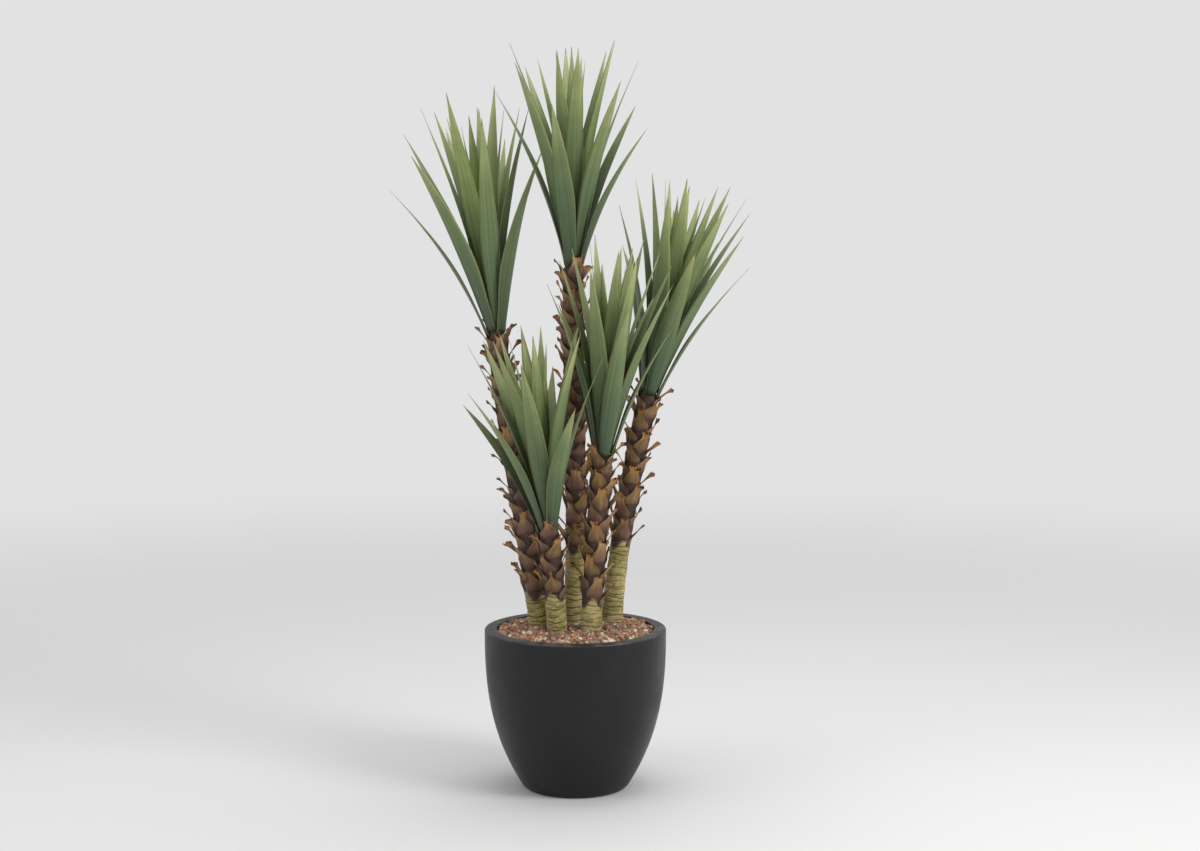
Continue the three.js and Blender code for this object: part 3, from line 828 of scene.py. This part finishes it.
# %% Leaves
OUTER_LEAVES = 8
LEAF_RISE = 0.072
LEAF_WIDTH = 0.047
NECK_RADIUS, NECK_TAPER = 0.018, 0.2
HEART_ROOTING = 0.0025
ROOM = 0.0003
LEAF_ROWS, LEAF_COLUMNS = 30, 9
WIDEST_AT = 0.4
TUFTS = {  # leaves, longest leaf in metres, spread and starting turn in degrees
    "left": (22, 0.485, 25, 180),
    "centre": (22, 0.436, 26, 340),
    "right": (22, 0.440, 24, 0),
    "front_right": (22, 0.422, 22, 2),
    "front_left": (19, 0.425, 25, 160),
}
leaf_across, leaf_side = blade_columns(LEAF_COLUMNS)


def build_leaf(stem, index, inset):
    leaves, longest, spread, turn = TUFTS[stem.name]
    seed = index + turn
    age = 1 - index / (leaves - 1)
    direction = math.radians(turn) + index * GOLDEN_ANGLE
    outward = np.array([math.cos(direction), math.sin(direction), 0])
    side = np.array([-outward[1], outward[0], 0])
    tilt = math.radians(mix(3, spread, age**0.8) + 1.5 * vary(seed))
    shape = mix(0.62, 1, math.sin(math.pi * mix(0.8, 0.14, age)))
    length = longest * shape * (1 + 0.05 * vary(seed + 0.3))
    width = LEAF_WIDTH * mix(0.8, 1, shape) * mix(0.78, 1, math.sqrt(age))
    rise = LEAF_RISE * index / (leaves - 1)
    foot = NECK_RADIUS - NECK_TAPER * rise + 0.002 + inset

    def reach(angle, distance):
        up = rise + distance * math.cos(angle)
        return outward * (foot + distance * math.sin(angle)) + np.array([0, 0, up])

    start, bend = reach(0, 0), reach(tilt * 0.6, length * 0.5)
    end = reach(tilt, length) + side * 0.04 * length * vary(seed + 0.6)
    t = np.linspace(0, 1, LEAF_ROWS)[:, None]
    spine = (1 - t) ** 2 * start + 2 * t * (1 - t) * bend + t**2 * end
    tangent = 2 * (1 - t) * (bend - start) + 2 * t * (end - bend)
    tangent /= np.linalg.norm(tangent, axis=1, keepdims=True)
    across = np.cross(tangent, outward)
    across /= np.linalg.norm(across, axis=1, keepdims=True)
    facing = np.cross(across, tangent)
    twist = math.radians(9) * vary(seed + 0.9) * soft_step(t, 0.3, 1.0)
    across, facing = (across * np.cos(twist) + facing * np.sin(twist),
                      facing * np.cos(twist) - across * np.sin(twist))
    swelling = mix(mix(0.35, 0.66, age), 1, soft_step(t, 0, WIDEST_AT))
    taper = 1 - np.maximum(0, (t - WIDEST_AT) / (1 - WIDEST_AT)) ** 1.6
    wave = 1 + 0.012 * np.sin(14 * t + 6 * vary(seed + 0.1))
    full = np.maximum(width * swelling * taper * wave, 0.0008)
    thick = mix(0.004, 0.002, soft_step(t, 0, 0.15)) * mix(1, 0.4, t)
    curl = np.clip(np.hypot(spine[:, :1], spine[:, 1:2]), 0.009, 0.036)
    angle = leaf_across[None, :] * full / 2 / curl
    lens = (1 - leaf_across**2) ** 0.6 * leaf_side
    ply = curl + thick / 2 * lens[None, :]
    points = (spine[:, None] + across[:, None] * (ply * np.sin(angle))[..., None]
              + facing[:, None] * (ply * np.cos(angle) - curl)[..., None])
    shape_points, faces = loft(stem.neck + points @ stem.tuft_turn.T)
    values = {
        "along": np.repeat(t.ravel(), len(leaf_across)),
        "across": np.tile(leaf_across, LEAF_ROWS),
        "tone": 0.5 + 0.5 * vary(seed + 0.45),
        "age": age,
    }
    return shape_points, faces, values


def build_growing_point(stem):
    rise = np.linspace(stem.wood_top + ROOM, LEAF_RISE + 0.010, 5)[:, None]
    angles = np.linspace(0, 2 * math.pi, 24, endpoint=False)[None, :]
    radius = NECK_RADIUS - NECK_TAPER * rise
    rings = np.stack([radius * np.cos(angles), radius * np.sin(angles), rise + 0 * angles], axis=-1)
    points, faces = loft(stem.neck + rings @ stem.tuft_turn.T)
    return points, faces, {"along": 0.05, "across": 0.0, "tone": 0.5, "age": 0.5}


for stem in stems.values():
    for index in range(OUTER_LEAVES):
        label = f"{stem.name}_{index + 1:02d}"
        leaf = build_leaf(stem, index, ROOM)
        make_piece("sword_" + label, leaf, leaf_skin, ["leaf_" + label])
    young = range(OUTER_LEAVES, TUFTS[stem.name][0])
    heart = [build_leaf(stem, index, -HEART_ROOTING) for index in young]
    part = join([build_growing_point(stem), *heart])
    make_piece("tuft_heart_" + stem.name, part, leaf_skin, ["heart_" + stem.name])
    print("tuft", stem.name, TUFTS[stem.name][0], "leaves")

# %% [markdown]
# ## The studio
# The plant stands on a plain pale floor in soft light. The floor is a wide sheet whose colour
# fades out far from the plant, so floor and background meet without a line. A large soft lamp on
# the right gives the leaves and the planter their shape, a weaker one on the left opens the
# shadows, and one above lights the leaf tips and the gravel.

# %% Floor
floor_paint, tree, shader = start_material("studio_floor")
shader.inputs["Base Color"].default_value = tint(196, 196, 196)
shader.inputs["Roughness"].default_value = 0.9
spread = add(tree, "ShaderNodeVectorMath", {0: add(tree, "ShaderNodeTexCoord").outputs["Object"]},
             operation="LENGTH").outputs["Value"]
fade = rescale(tree, spread, 0.8, 5.5)
clear = add(tree, "ShaderNodeBsdfTransparent")
both = add(tree, "ShaderNodeMixShader", {0: fade, 1: shader.outputs[0], 2: clear.outputs[0]})
tree.links.new(both.outputs[0], tree.nodes["Material Output"].inputs["Surface"])
rings = np.linspace(0.05, 6.5, 30)[:, None] * np.ones(96)
angles = np.linspace(0, 2 * math.pi, 96, endpoint=False)
sheet_points = np.stack([rings * np.cos(angles), rings * np.sin(angles), 0 * rings], axis=-1)
points, faces = loft(sheet_points)
sheet = bpy.data.meshes.new("studio_floor")
sheet.from_pydata(points.tolist(), [], faces[:-1])
sheet.materials.append(floor_paint)
floor = bpy.data.objects.new("studio_floor", sheet)
bpy.context.scene.collection.objects.link(floor)
print("floor:", len(faces), "faces")

# %% [markdown]
# ## The lamps
# Each lamp is a wide disk, because a wide source gives soft-edged shadows, and each one aims at
# the middle of the plant. The sky is an even pale grey, which fills in from every side.

# %% Lights
def soft_lamp(name, place, size, power, warmth=(1, 1, 1)):
    lamp = bpy.data.lights.new(name, "AREA")
    lamp.shape, lamp.size = "DISK", size
    lamp.energy, lamp.color = power, warmth
    thing = bpy.data.objects.new(name, lamp)
    thing.location = place
    aim = Vector((0, 0, 0.8)) - thing.location
    thing.rotation_euler = aim.to_track_quat("-Z", "Y").to_euler()
    bpy.context.scene.collection.objects.link(thing)


soft_lamp("lamp_right", (2.8, -2.0, 2.6), 1.8, 105, (1.0, 0.985, 0.96))
soft_lamp("lamp_left", (-3.0, -1.6, 2.0), 2.4, 30, (0.96, 0.98, 1.0))
soft_lamp("lamp_above", (0.2, 0.4, 4.0), 2.2, 60)
world = bpy.data.worlds.new("studio_air")
world.use_nodes = True
world.node_tree.nodes["Background"].inputs[0].default_value = tint(226, 226, 227)
world.node_tree.nodes["Background"].inputs[1].default_value = 1.0
bpy.context.scene.world = world
bpy.context.scene.view_settings.view_transform = "Standard"

# %% [markdown]
# ## The camera
# The camera stands four and a half metres away at chest height and looks slightly down, as one
# would to show a tall plant whole.

# %% Camera
lens = bpy.data.cameras.new("camera")
lens.lens, lens.sensor_width = 62.1, 36
camera = bpy.data.objects.new("camera", lens)
camera.location = (0, -4.5, 1.25)
camera.rotation_euler = (math.radians(90 - 5.68), 0, math.radians(-0.69))
bpy.context.scene.collection.objects.link(camera)
bpy.context.scene.camera = camera
